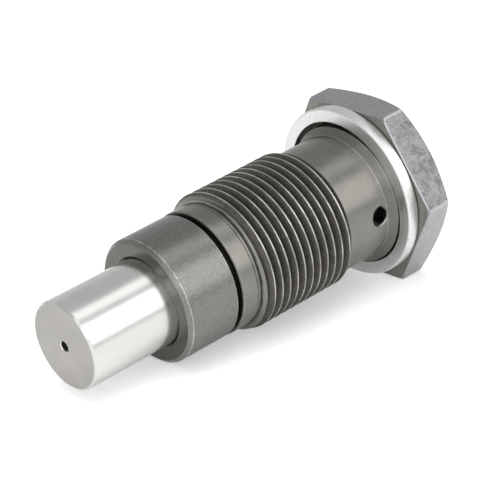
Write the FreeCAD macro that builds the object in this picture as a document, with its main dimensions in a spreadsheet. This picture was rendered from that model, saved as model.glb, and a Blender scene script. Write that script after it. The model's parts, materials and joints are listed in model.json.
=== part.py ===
"""Screw-in hydraulic timing chain tensioner: plug with hexagon head, seal ring, sleeve and plunger.

Every piece is drawn along the tensioner's own axis, local +X from the head to the plunger's tip, with
local X = 0 on the face under the hexagon. One common placement then lays the whole tensioner down as
it comes to rest, on a flat of its hexagon and the rim of its collar, with the model's origin on that
axis at the seal ring's front face, where it meets the engine block.
"""
import FreeCAD, Part
import math
import os

from FreeCAD import Placement, Rotation, Vector

# Driving dimensions, in millimetres and degrees
DRIVING_SIZES = {
    "hex_flats": 27.0,
    "head_length": 5.4,
    "head_rear_face_dia": 26.4,
    "head_front_face_dia": 30.0,
    "head_bevel_angle": 30.0,
    "seal_width": 2.15,
    "seal_bore_clearance": 0.35,
    "seal_contact_gap": 0.02,
    "seal_thickness": 2.0,
    "seal_edge_radius": 0.35,
    "shoulder_over_thread": 0.1,
    "shoulder_length": 2.3,
    "shoulder_taper_length": 1.0,
    "neck_undercut": 0.9,
    "neck_length": 11.0,
    "oil_hole_dia": 2.8,
    "oil_hole_countersink": 0.25,
    "oil_hole_position": 4.7,
    "thread_dia": 21.8,
    "thread_pitch": 1.5,
    "thread_length": 17.75,
    "thread_last_crest": 1.59,
    "relief_width": 0.7,
    "relief_depth": 0.28,
    "front_neck_undercut": 1.175,
    "front_neck_length": 3.45,
    "front_neck_chamfer": 0.2,
    "collar_gap": 0.7,
    "collar_undercut": 1.275,
    "collar_length": 9.3,
    "collar_rear_chamfer": 0.3,
    "collar_front_chamfer": 0.6,
    "bore_mouth_chamfer": 0.35,
    "sleeve_wall": 0.75,
    "guide_land_length": 12.2,
    "plunger_dia": 13.6,
    "plunger_clearance": 0.04,
    "plunger_reach": 14.85,
    "plunger_length": 36.05,
    "plunger_tip_wall": 3.0,
    "plunger_tip_chamfer": 0.35,
    "vent_hole_dia": 1.6,
    "stop_wire_dia": 0.9,
    "stop_wire_in_groove": 0.5,
    "stop_ring_opening": 30.0,
    "stop_clearance": 0.15,
    "stop_ring_clearance": 0.05,
    "valve_body_length": 8.5,
    "valve_port_dia": 2.8,
    "valve_port_depth": 6.0,
    "valve_seat_depth": 0.55,
    "valve_seat_angle": 45.0,
    "feed_groove_width": 3.2,
    "feed_groove_depth": 1.0,
    "cross_hole_dia": 2.0,
    "check_ball_dia": 4.76,
    "ball_seat_clearance": 0.03,
    "ball_side_clearance": 0.37,
    "cage_wall": 0.4,
    "cage_flange_clearance": 0.2,
    "cage_height": 5.7,
    "cage_window_width": 1.6,
    "cage_window_length": 2.4,
    "ball_spring_wire": 0.3,
    "ball_spring_dia": 2.6,
    "spring_wire": 1.2,
    "spring_inner_clearance": 0.4,
    "spring_outer_clearance": 0.15,
    "filler_clearance": 0.45,
    "filler_length": 23.0,
    "filler_flange_length": 1.2,
    "insert_clearance": 0.1,
    "insert_groove_width": 0.8,
    "insert_groove_depth": 1.2,
    "disc_thickness": 1.2,
    "disc_groove_depth": 0.35,
}

CROSS_HOLES = 4
CAGE_WINDOWS = 4
SPRING_TURNS = 16
BALL_SPRING_TURNS = 3

# A metric thread, as shares of its pitch: the chamfer at its ends, and its sixty-degree triangle
THREAD_CHAMFER_SHARE = 0.6134
TRIANGLE_SHARE = 0.8660
# Shares of that triangle's height: what the crest lacks, and how far the cutter stands over the crest
CREST_SHARE = 1 / 8
CUTTER_SHARE = 1 / 16

# How far a cutting tool passes the face that it cuts through, in millimetres
PAST = 1.0
# How near an edge must be to the circle that is asked for, in millimetres
MATCH_TOLERANCE = 1e-4

X_AXIS = Vector(1, 0, 0)
Y_AXIS = Vector(0, 1, 0)
Z_AXIS = Vector(0, 0, 1)
ORIGIN = Vector(0, 0, 0)
ALONG_X = Rotation(Z_AXIS, X_AXIS)

document = FreeCAD.newDocument("timing_chain_tensioner")

sheet = document.addObject("Spreadsheet::Sheet", "sizes")
for row, (size_name, size_value) in enumerate(DRIVING_SIZES.items(), start=1):
    sheet.set(f"A{row}", size_name)
    sheet.set(f"B{row}", str(size_value))
    sheet.setAlias(f"B{row}", size_name)
document.recompute()

# Stations along the axis, each measured from the face under the hexagon
THREAD_CHAMFER = f"({THREAD_CHAMFER_SHARE} * sizes.thread_pitch)"
THREAD_FRONT = "(sizes.neck_length + sizes.thread_length)"
HOUSING_FRONT = f"({THREAD_FRONT} + sizes.front_neck_length)"
COLLAR_REAR = f"({HOUSING_FRONT} + sizes.collar_gap)"
COLLAR_FRONT = f"({COLLAR_REAR} + sizes.collar_length)"
LAND_REAR = f"({COLLAR_FRONT} - sizes.guide_land_length)"
STOP_RING_CENTRE = f"({LAND_REAR} - sizes.stop_clearance - sizes.stop_wire_dia / 2)"
PLUNGER_TIP = f"({COLLAR_FRONT} + sizes.plunger_reach)"
PLUNGER_REAR = f"({PLUNGER_TIP} - sizes.plunger_length)"
PLUNGER_BORE_END = f"({PLUNGER_TIP} - sizes.plunger_tip_wall)"
DISC_REAR = f"({PLUNGER_BORE_END} - sizes.disc_thickness)"
FLANGE_REAR = f"({DISC_REAR} - sizes.filler_flange_length)"
CAGE_FRONT = "(sizes.valve_body_length + sizes.cage_height)"
SEAT_APEX = (
    "(sizes.valve_body_length - sizes.valve_seat_depth"
    " - sizes.valve_port_dia / 2 / tan(sizes.valve_seat_angle))"
)
BALL_CENTRE = (
    f"({SEAT_APEX} + (sizes.check_ball_dia / 2 + sizes.ball_seat_clearance)"
    " / sin(sizes.valve_seat_angle))"
)

# What must pass through the thread's hole is undercut from the thread
SHOULDER_DIA = "(sizes.thread_dia + 2 * sizes.shoulder_over_thread)"
NECK_DIA = "(sizes.thread_dia - 2 * sizes.neck_undercut)"
FRONT_NECK_DIA = "(sizes.thread_dia - 2 * sizes.front_neck_undercut)"
COLLAR_DIA = "(sizes.thread_dia - 2 * sizes.collar_undercut)"
SEAL_BORE = f"({SHOULDER_DIA} + 2 * sizes.seal_bore_clearance)"
SEAL_DIA = f"({SEAL_BORE} + 2 * sizes.seal_width)"

# From the ball outwards: cage, main spring, and the plunger's bore round it
CAGE_BORE = "(sizes.check_ball_dia + 2 * sizes.ball_side_clearance)"
CAGE_DIA = f"({CAGE_BORE} + 2 * sizes.cage_wall)"
SPRING_RADIUS = f"({CAGE_DIA} / 2 + sizes.spring_inner_clearance + sizes.spring_wire / 2)"
PLUNGER_BORE = f"(2 * {SPRING_RADIUS} + sizes.spring_wire + 2 * sizes.spring_outer_clearance)"
FLANGE_DIA = f"({PLUNGER_BORE} - 2 * sizes.cage_flange_clearance)"
FILLER_DIA = f"(2 * {SPRING_RADIUS} - sizes.spring_wire - 2 * sizes.filler_clearance)"
INSERT_DIA = f"({PLUNGER_BORE} - 2 * sizes.insert_clearance)"

# From the plunger outwards: stop ring, sleeve, and the housing's bore round it
STOP_RING_RADIUS = "(sizes.plunger_dia / 2 + sizes.stop_wire_dia / 2 - sizes.stop_wire_in_groove)"
SLEEVE_BORE = f"(2 * {STOP_RING_RADIUS} + sizes.stop_wire_dia + 2 * sizes.stop_ring_clearance)"
CYLINDER_BORE = f"({SLEEVE_BORE} + 2 * sizes.sleeve_wall)"


def value(formula):
    """The number that a formula of the sheet's sizes gives."""
    result = sheet.evalExpression(formula)
    return getattr(result, "Value", result)


def bind(item, formulas):
    """Binds an object's properties to formulas of the sheet's sizes."""
    for prop, formula in formulas.items():
        item.setExpression(prop, formula)
    return item


def cylinder(name, diameter, start, length):
    """A cylinder on the local X axis."""
    item = document.addObject("Part::Cylinder", name)
    item.Placement = Placement(ORIGIN, ALONG_X)
    return bind(item, {"Radius": f"{diameter} / 2", "Height": length, "Placement.Base.x": start})


def cone(name, start_diameter, end_diameter, start, length):
    """A frustum on the local X axis."""
    item = document.addObject("Part::Cone", name)
    item.Placement = Placement(ORIGIN, ALONG_X)
    return bind(item, {
        "Radius1": f"{start_diameter} / 2",
        "Radius2": f"{end_diameter} / 2",
        "Height": length,
        "Placement.Base.x": start,
    })


def torus(name, ring_radius, wire_radius, centre):
    """A ring of round section about the local X axis."""
    item = document.addObject("Part::Torus", name)
    item.Placement = Placement(ORIGIN, ALONG_X)
    return bind(item, {"Radius1": ring_radius, "Radius2": wire_radius, "Placement.Base.x": centre})


def radial_hole(name, diameter, station, length, turn=0):
    """A cylinder from the local X axis outwards, turned about that axis from local +Y."""
    item = document.addObject("Part::Cylinder", name)
    outward = Rotation(X_AXIS, turn).multVec(Y_AXIS)
    item.Placement = Placement(ORIGIN, Rotation(Z_AXIS, outward))
    return bind(item, {"Radius": f"{diameter} / 2", "Height": length, "Placement.Base.x": station})


def block(name, start, length, width, height, base_height="0", turn=0):
    """A box along the local X axis, centred across Y and standing up from base_height, then turned."""
    item = document.addObject("Part::Box", name)
    spin = Rotation(X_AXIS, turn)
    across = spin.multVec(Y_AXIS)
    up = spin.multVec(Z_AXIS)
    item.Placement = Placement(ORIGIN, spin)
    return bind(item, {
        "Length": length,
        "Width": width,
        "Height": height,
        "Placement.Base.x": start,
        "Placement.Base.y": f"-({width}) / 2 * {across.y} + {base_height} * {up.y}",
        "Placement.Base.z": f"-({width}) / 2 * {across.z} + {base_height} * {up.z}",
    })


def joined(name, pieces):
    """All pieces as one solid."""
    item = document.addObject("Part::MultiFuse", name)
    item.Shapes = pieces
    item.Refine = True
    return item


def shared(name, pieces):
    """The space that all pieces share."""
    item = document.addObject("Part::MultiCommon", name)
    item.Shapes = pieces
    return item


def cut(name, base, tools):
    """The base less every tool."""
    item = document.addObject("Part::Cut", name)
    item.Base = base
    item.Tool = tools[0] if len(tools) == 1 else joined(f"{name}_tools", tools)
    return item


def eased(name, kind, base, edge_sizes):
    """A base with some of its round edges filleted or chamfered.

    Each entry of edge_sizes is an edge circle's diameter, its station and the size of its fillet or
    chamfer, as formulas.
    """
    document.recompute()
    item = document.addObject(kind, name)
    item.Base = base
    edges = []
    for diameter, station, size in edge_sizes:
        radius = value(f"({diameter}) / 2")
        place = value(station)
        size_value = value(size)
        for number, edge in enumerate(base.Shape.Edges, start=1):
            curve = edge.Curve
            if not isinstance(curve, Part.Circle):
                continue
            same_radius = abs(curve.Radius - radius) < MATCH_TOLERANCE
            if same_radius and abs(curve.Center.x - place) < MATCH_TOLERANCE:
                edges.append((number, size_value, size_value))
    if len(edges) < len(edge_sizes):
        raise RuntimeError(f"{name}: an edge to ease wasn't found")
    item.Edges = edges
    return item


def swept(name, section, path):
    """A section carried along a helix."""
    item = document.addObject("Part::Sweep", name)
    item.Sections = [section]
    item.Spine = path
    item.Solid = True
    item.Frenet = True
    return item


def coil(name, ring_radius, wire_diameter, start, end, turns):
    """A helical spring of round wire along the local X axis, its wire between two stations."""
    helix = document.addObject("Part::Helix", f"{name}_path")
    helix.Placement = Placement(ORIGIN, ALONG_X)
    rise = f"({end} - {start} - {wire_diameter})"
    bind(helix, {
        "Radius": ring_radius,
        "Height": rise,
        "Pitch": f"{rise} / {turns}",
        "Placement.Base.x": f"{start} + {wire_diameter} / 2",
    })
    wire = document.addObject("Part::Circle", f"{name}_wire")
    bind(wire, {"Radius": f"{wire_diameter} / 2"})
    wire.Placement = Placement(ORIGIN, Rotation(Z_AXIS, Y_AXIS))
    start_angle = ALONG_X.multVec(X_AXIS)
    wire.setExpression("Placement.Base.x", f"{start} + {wire_diameter} / 2")
    wire.setExpression("Placement.Base.z", f"{ring_radius} * {round(start_angle.z)}")
    return swept(name, wire, helix)


def thread_groove(name):
    """The groove between the thread's ridges: a triangle swept along a right-hand helix.

    Its open side stands a little over the crest, by less than would let neighbouring turns touch.
    """
    triangle = f"({TRIANGLE_SHARE} * sizes.thread_pitch)"
    root_radius = f"(sizes.thread_dia / 2 - {1 - CREST_SHARE} * {triangle})"
    section_radius = f"({triangle} * {1 - CREST_SHARE + CUTTER_SHARE} * 2 / 3)"
    path_radius = f"({root_radius} + {section_radius})"
    turns = "(ceil(sizes.thread_length / sizes.thread_pitch) + 3)"
    # The helix starts at local -Z with a groove, and thread_last_crest places a crest at local +Y
    first_groove = f"(sizes.thread_last_crest + ({turns} - 1.25) * sizes.thread_pitch)"
    start = f"({THREAD_FRONT} - {first_groove})"

    helix = document.addObject("Part::Helix", f"{name}_path")
    helix.Placement = Placement(ORIGIN, ALONG_X)
    bind(helix, {
        "Radius": path_radius,
        "Height": f"{turns} * sizes.thread_pitch",
        "Pitch": "sizes.thread_pitch",
        "Placement.Base.x": start,
    })
    section = document.addObject("Part::RegularPolygon", f"{name}_section")
    section.Polygon = 3
    point_inwards = Rotation(-X_AXIS, Z_AXIS, Y_AXIS)
    section.Placement = Placement(ORIGIN, ALONG_X.multiply(point_inwards))
    outwards = ALONG_X.multVec(X_AXIS)
    bind(section, {
        "Circumradius": section_radius,
        "Placement.Base.x": start,
        "Placement.Base.z": f"{path_radius} * {round(outwards.z)}",
    })
    return swept(name, section, helix)


def make_housing():
    """The screw plug: hexagon head, shoulder, neck, threaded barrel, front neck and blind bore."""
    hexagon = document.addObject("Part::Prism", "hexagon")
    hexagon.Polygon = 6
    # Half of a side's angle brings a flat, not a corner, to the floor
    hexagon.Placement = Placement(ORIGIN, ALONG_X.multiply(Rotation(Z_AXIS, 30)))
    bind(hexagon, {
        "Circumradius": "sizes.hex_flats / 2 / cos(30)",
        "Height": "sizes.head_length",
        "Placement.Base.x": "-sizes.head_length",
    })
    bevel_growth = "2 * sizes.head_length / tan(sizes.head_bevel_angle)"
    rear_bevel = cone("head_rear_bevel", "sizes.head_rear_face_dia",
                      f"(sizes.head_rear_face_dia + {bevel_growth})", "-sizes.head_length",
                      "sizes.head_length")
    front_bevel = cone("head_front_bevel", f"(sizes.head_front_face_dia + {bevel_growth})",
                       "sizes.head_front_face_dia", "-sizes.head_length", "sizes.head_length")
    head = shared("head", [hexagon, rear_bevel, front_bevel])

    shoulder = cylinder("shoulder", SHOULDER_DIA, "0", "sizes.shoulder_length")
    shoulder_taper = cone("shoulder_taper", SHOULDER_DIA, NECK_DIA,
                          "sizes.shoulder_length", "sizes.shoulder_taper_length")
    neck = cylinder("neck", NECK_DIA, "0", "sizes.neck_length")

    end_dia = f"(sizes.thread_dia - 2 * {THREAD_CHAMFER})"
    run_out = cone("thread_run_out", end_dia, "sizes.thread_dia", "sizes.neck_length", THREAD_CHAMFER)
    barrel = cylinder("threaded_barrel", "sizes.thread_dia", f"sizes.neck_length + {THREAD_CHAMFER}",
                      f"sizes.thread_length - 2 * {THREAD_CHAMFER}")
    lead_in = cone("thread_lead_in", "sizes.thread_dia", end_dia, f"{THREAD_FRONT} - {THREAD_CHAMFER}",
                   THREAD_CHAMFER)
    blank = joined("thread_blank", [run_out, barrel, lead_in])
    thread = cut("thread", blank, [thread_groove("thread_groove")])
    front_neck = cylinder("front_neck", FRONT_NECK_DIA, THREAD_FRONT, "sizes.front_neck_length")
    front_neck = eased("front_neck_eased", "Part::Chamfer", front_neck,
                       [(FRONT_NECK_DIA, HOUSING_FRONT, "sizes.front_neck_chamfer")])
    plug = joined("plug", [head, shoulder, shoulder_taper, neck, thread, front_neck])

    bore = cylinder("cylinder_bore", CYLINDER_BORE, "0", f"{HOUSING_FRONT} + {PAST}")
    relief = torus("thread_relief",
                   f"{FRONT_NECK_DIA} / 2 - sizes.relief_depth + sizes.relief_width / 2",
                   "sizes.relief_width / 2", f"{THREAD_FRONT} + sizes.relief_width / 2")
    oil_hole = radial_hole("oil_hole", "sizes.oil_hole_dia", "sizes.oil_hole_position", NECK_DIA)
    sink = document.addObject("Part::Cone", "oil_hole_sink")
    sink.Placement = Placement(ORIGIN, Rotation(Z_AXIS, Y_AXIS))
    bind(sink, {
        "Radius1": "sizes.oil_hole_dia / 2",
        "Radius2": "sizes.oil_hole_dia / 2 + 2 * sizes.oil_hole_countersink",
        "Height": "2 * sizes.oil_hole_countersink",
        "Placement.Base.x": "sizes.oil_hole_position",
        "Placement.Base.y": f"{NECK_DIA} / 2 - sizes.oil_hole_countersink",
    })
    return cut("housing", plug, [bore, relief, oil_hole, sink])


def make_sealing_washer():
    """The soft ring under the hexagon, with rounded edges."""
    outer = cylinder("washer_outer", SEAL_DIA, "0", "sizes.seal_thickness")
    bore = cylinder("washer_bore", SEAL_BORE, f"-{PAST}", f"sizes.seal_thickness + 2 * {PAST}")
    ring = cut("washer_ring", outer, [bore])
    edges = []
    for diameter in (SEAL_DIA, SEAL_BORE):
        for station in ("0", "sizes.seal_thickness"):
            edges.append((diameter, station, "sizes.seal_edge_radius"))
    return eased("sealing_washer", "Part::Fillet", ring, edges)


def make_guide_sleeve():
    """The collar that guides the plunger, with the spigot that is pressed into the housing's bore."""
    collar = cylinder("collar", COLLAR_DIA, COLLAR_REAR, "sizes.collar_length")
    collar = eased("collar_eased", "Part::Chamfer", collar, [
        (COLLAR_DIA, COLLAR_REAR, "sizes.collar_rear_chamfer"),
        (COLLAR_DIA, COLLAR_FRONT, "sizes.collar_front_chamfer"),
    ])
    spigot = cylinder("spigot", CYLINDER_BORE, "sizes.valve_body_length",
                      f"{COLLAR_FRONT} - sizes.valve_body_length - sizes.collar_front_chamfer")
    blank = joined("sleeve_blank", [collar, spigot])
    land_dia = "(sizes.plunger_dia + 2 * sizes.plunger_clearance)"
    land = cylinder("guide_land", land_dia, "sizes.valve_body_length", f"{COLLAR_FRONT} + {PAST}")
    relieved = cylinder("relieved_bore", SLEEVE_BORE, f"sizes.valve_body_length - {PAST}",
                        f"{LAND_REAR} - sizes.valve_body_length + {PAST}")
    mouth = cone("bore_mouth", land_dia, f"({land_dia} + 4 * sizes.bore_mouth_chamfer)",
                 f"{COLLAR_FRONT} - sizes.bore_mouth_chamfer", "2 * sizes.bore_mouth_chamfer")
    return cut("guide_sleeve", blank, [land, relieved, mouth])


def make_plunger():
    """The hollow piston, open to the rear, with a groove for the stop ring and a vented tip."""
    rod = cylinder("plunger_rod", "sizes.plunger_dia", PLUNGER_REAR, "sizes.plunger_length")
    rod = eased("plunger_rod_eased", "Part::Chamfer", rod, [
        ("sizes.plunger_dia", PLUNGER_TIP, "sizes.plunger_tip_chamfer"),
        ("sizes.plunger_dia", PLUNGER_REAR, "sizes.plunger_tip_chamfer"),
    ])
    bore = cylinder("plunger_bore", PLUNGER_BORE, f"{PLUNGER_REAR} - {PAST}",
                    f"sizes.plunger_length + {PAST} - sizes.plunger_tip_wall")
    groove = torus("stop_groove", STOP_RING_RADIUS,
                   "sizes.stop_wire_dia / 2 + sizes.plunger_clearance / 2", STOP_RING_CENTRE)
    vent = cylinder("vent_hole", "sizes.vent_hole_dia", f"{PLUNGER_BORE_END} - {PAST}",
                    f"sizes.plunger_tip_wall + 2 * {PAST}")
    return cut("plunger", rod, [bore, groove, vent])


def make_stop_ring():
    """The open wire ring that stops the plunger against the end of the sleeve's guide land."""
    ring = torus("stop_ring", STOP_RING_RADIUS, "sizes.stop_wire_dia / 2", STOP_RING_CENTRE)
    return bind(ring, {"Angle3": "360 - sizes.stop_ring_opening"})


def make_valve_body():
    """The check valve's body, fed from the oil hole by a ring groove and cross holes."""
    blank = cylinder("valve_blank", CYLINDER_BORE, "0", "sizes.valve_body_length")
    groove_rear = "sizes.oil_hole_position - sizes.feed_groove_width / 2"
    ring = cylinder("feed_ring", f"({CYLINDER_BORE} + 2 * {PAST})", groove_rear,
                    "sizes.feed_groove_width")
    core_dia = f"({CYLINDER_BORE} - 2 * sizes.feed_groove_depth)"
    core = cylinder("feed_core", core_dia, f"{groove_rear} - {PAST}",
                    f"sizes.feed_groove_width + 2 * {PAST}")
    feed_groove = cut("feed_groove", ring, [core])
    port = cylinder("valve_port", "sizes.valve_port_dia",
                    "sizes.valve_body_length - sizes.valve_port_depth",
                    f"sizes.valve_port_depth + {PAST}")
    seat_growth = "4 * sizes.valve_seat_depth * tan(sizes.valve_seat_angle)"
    seat = cone("valve_seat", "sizes.valve_port_dia", f"(sizes.valve_port_dia + {seat_growth})",
                "sizes.valve_body_length - sizes.valve_seat_depth", "2 * sizes.valve_seat_depth")
    tools = [feed_groove, port, seat]
    for number in range(CROSS_HOLES):
        tools.append(radial_hole(f"cross_hole_{number + 1}", "sizes.cross_hole_dia",
                                 "sizes.oil_hole_position", f"{CYLINDER_BORE} / 2",
                                 number * 360 / CROSS_HOLES))
    return cut("valve_body", blank, tools)


def make_check_ball():
    """The ball, closed on its seat."""
    ball = document.addObject("Part::Sphere", "check_ball")
    return bind(ball, {"Radius": "sizes.check_ball_dia / 2"})


def make_ball_cage():
    """The pressed hat that keeps the ball, its flange under the main spring."""
    hat = cylinder("cage_hat", CAGE_DIA, "sizes.valve_body_length", "sizes.cage_height")
    flange = cylinder("cage_flange", FLANGE_DIA, "sizes.valve_body_length", "sizes.cage_wall")
    blank = joined("cage_blank", [hat, flange])
    inside = cylinder("cage_inside", CAGE_BORE, f"sizes.valve_body_length - {PAST}",
                      f"sizes.cage_height + {PAST} - sizes.cage_wall")
    window_start = f"{CAGE_FRONT} - 2 * sizes.cage_wall - sizes.cage_window_length"
    tools = [inside]
    for number in range(CAGE_WINDOWS):
        tools.append(block(f"cage_window_{number + 1}", window_start, "sizes.cage_window_length",
                           "sizes.cage_window_width", CAGE_DIA, turn=number * 360 / CAGE_WINDOWS))
    return cut("ball_cage", blank, tools)


def make_ball_spring():
    """The light spring between the ball and its cage."""
    reach = "sqrt((sizes.check_ball_dia / 2 + sizes.ball_spring_wire / 2)^2"
    reach += " - (sizes.ball_spring_dia / 2)^2)"
    start = f"({BALL_CENTRE} + {reach} - sizes.ball_spring_wire / 2 + sizes.ball_seat_clearance)"
    return coil("ball_spring", "sizes.ball_spring_dia / 2", "sizes.ball_spring_wire", start,
                f"({CAGE_FRONT} - sizes.cage_wall)", BALL_SPRING_TURNS)


def make_plunger_spring():
    """The main spring, from the cage's flange to the filler's flange."""
    return coil("plunger_spring", SPRING_RADIUS, "sizes.spring_wire",
                "(sizes.valve_body_length + sizes.cage_wall)", FLANGE_REAR, SPRING_TURNS)


def make_filler_insert():
    """The plastic rod inside the main spring, with an oil groove across its flange."""
    rod = cylinder("filler_rod", FILLER_DIA, f"{FLANGE_REAR} - sizes.filler_length",
                   "sizes.filler_length")
    flange = cylinder("filler_flange", INSERT_DIA, FLANGE_REAR, "sizes.filler_flange_length")
    blank = joined("filler_blank", [rod, flange])
    groove = block("filler_groove", f"{FLANGE_REAR} - {PAST}", f"sizes.filler_flange_length + 2 * {PAST}",
                   "sizes.insert_groove_width", f"{PLUNGER_BORE} / 2",
                   f"({INSERT_DIA} / 2 - sizes.insert_groove_depth)")
    return cut("filler_insert", blank, [groove])


def make_vent_disc():
    """The disc behind the vent hole, with one shallow groove from its rim to its middle."""
    blank = cylinder("disc_blank", INSERT_DIA, DISC_REAR, "sizes.disc_thickness")
    groove = block("disc_groove", f"{PLUNGER_BORE_END} - sizes.disc_groove_depth",
                   f"sizes.disc_groove_depth + {PAST}", "sizes.insert_groove_width",
                   f"{PLUNGER_BORE} / 2")
    return cut("vent_disc", blank, [groove])


makers = [
    make_housing,
    make_sealing_washer,
    make_guide_sleeve,
    make_plunger,
    make_stop_ring,
    make_valve_body,
    make_check_ball,
    make_ball_cage,
    make_ball_spring,
    make_plunger_spring,
    make_filler_insert,
    make_vent_disc,
]
pieces = {}
for maker in makers:
    node = maker.__name__.removeprefix("make_")
    piece = maker()
    piece.Label = node
    pieces[node] = piece
document.recompute()


def washer_rim(raised):
    """The sealing washer's front rim: station, radius and edge radius.

    A raised washer stands up on the shoulder as far as its bore lets it.
    """
    play = value("sizes.seal_bore_clearance - sizes.seal_contact_gap") if raised else 0
    return value("sizes.seal_thickness"), value(f"{SEAL_DIA} / 2") - play, value("sizes.seal_edge_radius")


def floor_reach(rim, lean):
    """How far a rim reaches down from the origin when the axis dips by an angle."""
    station, radius, edge = rim
    return (radius - edge) * math.cos(lean) + (station - edge) * math.sin(lean) + edge


def floor_depth(lean):
    """How far below the origin the floor is when the axis dips by an angle."""
    rims = [
        (0, value("sizes.hex_flats / 2"), 0),
        washer_rim(raised=True),
        (value(f"{THREAD_FRONT} - {THREAD_CHAMFER}"), value("sizes.thread_dia / 2"), 0),
        (value(f"{COLLAR_FRONT} - sizes.collar_front_chamfer"), value(f"{COLLAR_DIA} / 2"), 0),
        (value(f"{PLUNGER_TIP} - sizes.plunger_tip_chamfer"), value("sizes.plunger_dia / 2"), 0),
    ]
    return max(floor_reach(rim, lean) for rim in rims)


def rest_lean(balance):
    """The dip of the axis at which the point of balance, on the axis, is nearest to the floor."""
    low, high = 0, math.radians(45)
    for _ in range(80):
        third = (high - low) / 3
        first, second = low + third, high - third
        if floor_depth(first) - balance * math.sin(first) < floor_depth(second) - balance * math.sin(second):
            high = second
        else:
            low = first
    return (low + high) / 2


def washer_lift(lean):
    """How far the loose washer stands above the axis, so that it too lies on the floor if it can."""
    play = value("sizes.seal_bore_clearance - sizes.seal_contact_gap")
    lift = (floor_reach(washer_rim(raised=False), lean) - floor_depth(lean)) / math.cos(lean)
    return max(lift, -play)


# Where each piece lies along the axis, before the whole tensioner is laid down
local_places = {
    "stop_ring": Placement(Vector(value(STOP_RING_CENTRE), 0, 0), ALONG_X),
    "check_ball": Placement(Vector(value(BALL_CENTRE), 0, 0), Rotation()),
}
volume = sum(piece.Shape.Volume for piece in pieces.values())
balance = sum(piece.Shape.CenterOfGravity.x * piece.Shape.Volume for piece in pieces.values()) / volume
lean = rest_lean(balance)
local_places["sealing_washer"] = Placement(Vector(0, 0, washer_lift(lean)), Rotation())
resting = Rotation(Y_AXIS, math.degrees(lean))
seal_front = Vector(value("sizes.seal_thickness"), 0, 0)
rest = Placement(-resting.multVec(seal_front), resting)
for node, piece in pieces.items():
    for prop, _ in list(piece.ExpressionEngine):
        if prop.strip(".").startswith("Placement"):
            piece.setExpression(prop, None)
    piece.Placement = rest.multiply(local_places.get(node, Placement()))
document.recompute()

for item in document.Objects:
    if "Invalid" in item.State or "Error" in item.State:
        raise RuntimeError(f"{item.Name} failed: {item.State}")
for node, piece in pieces.items():
    if piece.Shape.isNull() or not piece.Shape.isValid():
        raise RuntimeError(f"{node} has no valid shape")

os.makedirs("parts", exist_ok=True)
for node, piece in pieces.items():
    piece.Shape.exportStep(f"parts/{node}.step")
    box = piece.Shape.BoundBox
    print(f"{node}: {len(piece.Shape.Solids)} solid, volume {piece.Shape.Volume:.1f} mm3, "
          f"X {box.XMin:.2f} to {box.XMax:.2f}, Z {box.ZMin:.2f} to {box.ZMax:.2f}")
print(f"lean {math.degrees(lean):.3f} degrees")
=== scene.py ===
"""Dresses the timing chain tensioner: turned plug with its thread, seal ring, collar and plunger.

Lengths are in millimetres and angles in degrees up to the point where a finished mesh is laid down in
the frame, in metres. Every surface of revolution is drawn along the tensioner's own axis, with station
zero on the face under the hexagon. Turns are counted from the row's +Y towards the upper side.
"""
from __future__ import annotations

import json
import logging
import math
from collections import Counter
from dataclasses import dataclass, field
from enum import Enum, IntEnum

import bmesh
import bpy
import numpy as np
from bpy.types import ID, Material, Mesh, Node, NodeSocket, NodeTree, Object, World
from mathutils import Matrix, Vector

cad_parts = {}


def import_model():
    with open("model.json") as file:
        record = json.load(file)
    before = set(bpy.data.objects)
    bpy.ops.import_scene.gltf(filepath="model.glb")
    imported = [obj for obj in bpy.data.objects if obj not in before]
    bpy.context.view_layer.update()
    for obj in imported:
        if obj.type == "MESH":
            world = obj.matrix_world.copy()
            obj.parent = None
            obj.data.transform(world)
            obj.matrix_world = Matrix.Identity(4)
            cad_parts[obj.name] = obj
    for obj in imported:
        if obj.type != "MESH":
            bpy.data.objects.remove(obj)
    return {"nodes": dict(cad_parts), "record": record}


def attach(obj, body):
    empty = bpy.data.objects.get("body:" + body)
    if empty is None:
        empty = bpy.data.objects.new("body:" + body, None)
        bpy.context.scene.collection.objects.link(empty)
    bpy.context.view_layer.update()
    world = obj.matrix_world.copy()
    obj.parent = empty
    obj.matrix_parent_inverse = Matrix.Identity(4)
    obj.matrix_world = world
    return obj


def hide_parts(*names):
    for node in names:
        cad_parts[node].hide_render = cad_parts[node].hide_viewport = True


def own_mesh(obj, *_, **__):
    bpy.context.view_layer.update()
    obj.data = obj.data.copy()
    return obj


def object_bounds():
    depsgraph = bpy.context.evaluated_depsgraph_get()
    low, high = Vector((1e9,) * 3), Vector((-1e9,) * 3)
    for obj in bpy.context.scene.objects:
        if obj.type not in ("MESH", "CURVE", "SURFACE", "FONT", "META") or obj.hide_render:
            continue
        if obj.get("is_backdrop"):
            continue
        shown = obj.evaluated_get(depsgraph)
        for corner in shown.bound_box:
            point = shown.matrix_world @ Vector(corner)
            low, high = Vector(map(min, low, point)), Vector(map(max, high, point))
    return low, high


log = logging.getLogger("tensioner")

MM = 0.001
SEGMENTS = 288
ROUND_TURN = 2 * math.pi
TURNS = np.arange(SEGMENTS) * ROUND_TURN / SEGMENTS
SMOOTH_LIMIT = math.radians(26)
WELD_DISTANCE = 0.002
SLIVER_LENGTH = 0.0005
ON_SURFACE = 0.01
# The Mix node's colour sockets have numbers, because its other kinds share their names
MIX_COLOURS = (6, 7)
MIX_RESULT = 2

Point = tuple[float, float]
Colour = tuple[float, float, float]


class Body(str, Enum):
    """The frame's moving bodies."""

    HOUSING = "housing"
    PLUNGER = "plunger"


class SpringEnd(str, Enum):
    """The end of a spring that stays where it is while its joint moves."""

    REAR = "rear"
    FRONT = "front"


class Slot(str, Enum):
    """The record's material slots, which the visible pieces carry."""

    HOUSING = "housing_steel"
    SLEEVE = "sleeve_steel"
    GROUND = "ground_steel"
    WASHER = "washer_aluminium"
    SPRING = "spring_steel"


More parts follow.
